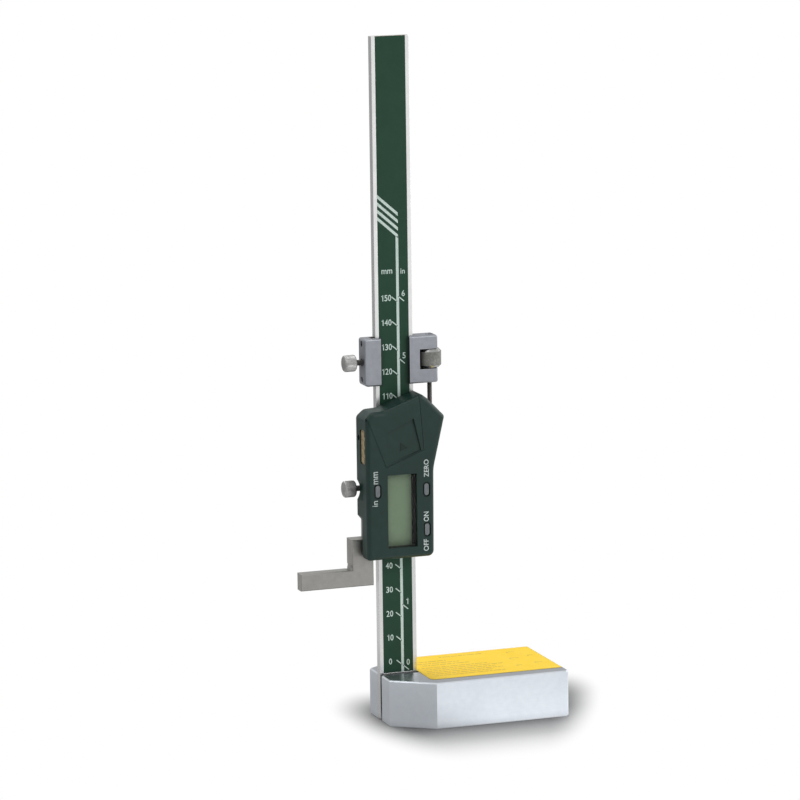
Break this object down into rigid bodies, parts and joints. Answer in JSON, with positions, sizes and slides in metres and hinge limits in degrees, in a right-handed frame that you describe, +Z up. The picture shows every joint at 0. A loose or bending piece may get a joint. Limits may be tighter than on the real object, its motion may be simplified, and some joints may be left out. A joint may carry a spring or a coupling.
{
  "type": "height gauge",
  "caption": "Small digital height gauge: steel base, graduated beam, slider with jaw and display unit, and a fine adjustment carriage above it.",
  "frame": {"origin": "middle of the base's flat underside", "axes": "+X along the base away from the measuring jaw, +Y to the rear, +Z up along the beam"},
  "size_m": [0.1078, 0.047, 0.2798],
  "materials": {
    "ground_base": "fine ground steel with bright edges",
    "ground_beam": "fine ground steel, bright side strips",
    "green_print": "green printed film with white scale",
    "circuit_laminate": "glass fibre laminate with copper pads",
    "yellow_film": "yellow printed film",
    "dark_screw": "blackened steel",
    "satin_frame": "satin ground steel",
    "gib_bronze": "plain bronze strip",
    "knurled_chrome": "satin chrome with straight knurl",
    "green_cover": "dark green moulded plastic",
    "clear_window": "clear plastic window",
    "grey_display": "grey green reflective display",
    "black_rubber": "soft black rubber",
    "black_carrier": "black moulded frame",
    "green_board": "circuit board with solder mask",
    "switch_metal": "small stamped switches",
    "cell_steel": "bright nickel plated cell",
    "contact_gold": "gilded contact strip",
    "dark_rod": "blackened threaded rod",
    "button_rubber": "grey button caps"
  },
  "bodies": {
    "base": {"base_block": "ground_base", "beam": "ground_beam", "scale_circuit_strip": "circuit_laminate", "scale_label": "green_print", "base_label": "yellow_film", "beam_clamp_screws": "dark_screw"},
    "slider": {"slider_frame": "satin_frame", "slider_gib": "gib_bronze", "slider_gib_screws": "dark_screw", "cover_housing": "green_cover", "cover_screws": "dark_screw", "window_lens": "clear_window", "display_panel": "grey_display", "display_holder": "black_carrier", "display_connectors": "black_rubber", "circuit_board": "green_board", "key_switches": "switch_metal", "battery": "cell_steel", "battery_contacts": "contact_gold", "data_port_contacts": "contact_gold", "fine_rod": "dark_rod", "fine_rod_pin": "dark_screw"},
    "slider_lock": {"slider_lock_screw": "knurled_chrome"},
    "units_key": {"button_units": "button_rubber"},
    "zero_key": {"button_zero": "button_rubber"},
    "power_key": {"button_power": "button_rubber"},
    "lid": {"battery_lid": "green_cover"},
    "carriage": {"carriage_frame": "satin_frame", "carriage_gib": "gib_bronze", "carriage_gib_screws": "dark_screw"},
    "carriage_lock": {"carriage_lock_screw": "knurled_chrome"},
    "nut": {"fine_nut": "knurled_chrome"}
  },
  "joints": [
    {"name": "slider_travel", "type": "slide", "parent": "base", "child": "slider", "axis": [0, 0, 1], "range_m": [-0.0465, 0.1035]},
    {"name": "fine_travel", "type": "slide", "parent": "slider", "child": "carriage", "axis": [0, 0, 1], "range_m": [-0.002, 0.006]},
    {"name": "nut_turn", "type": "hinge", "parent": "carriage", "child": "nut", "pos_m": [-0.0134, 0.00095, 0.1489], "axis": [0, 0, 1], "range_deg": [-1801, 5401]},
    {"name": "slider_lock_turn", "type": "hinge", "parent": "slider", "child": "slider_lock", "pos_m": [-0.046, 0.00095, 0.09706], "axis": [1, 0, 0], "range_deg": [-180, 0]},
    {"name": "carriage_lock_turn", "type": "hinge", "parent": "carriage", "child": "carriage_lock", "pos_m": [-0.0451, 0.00095, 0.1485], "axis": [1, 0, 0], "range_deg": [-180, 0]},
    {"name": "units_press", "type": "slide", "parent": "slider", "child": "units_key", "axis": [0, 1, 0], "range_m": [0, 0.0005], "stiffness_N_per_m": 400, "springref_m": -0.0005},
    {"name": "zero_press", "type": "slide", "parent": "slider", "child": "zero_key", "axis": [0, 1, 0], "range_m": [0, 0.0005], "stiffness_N_per_m": 400, "springref_m": -0.0005},
    {"name": "power_press", "type": "slide", "parent": "slider", "child": "power_key", "axis": [0, 1, 0], "range_m": [0, 0.0005], "stiffness_N_per_m": 400, "springref_m": -0.0005},
    {"name": "lid_slide", "type": "slide", "parent": "slider", "child": "lid", "axis": [-0.3584, 0, 0.9336], "range_m": [0, 0.024]}
  ],
  "couplings": [
    {"joint": "nut_turn", "follows": "fine_travel", "rad_per_m": 15708}
  ]
}
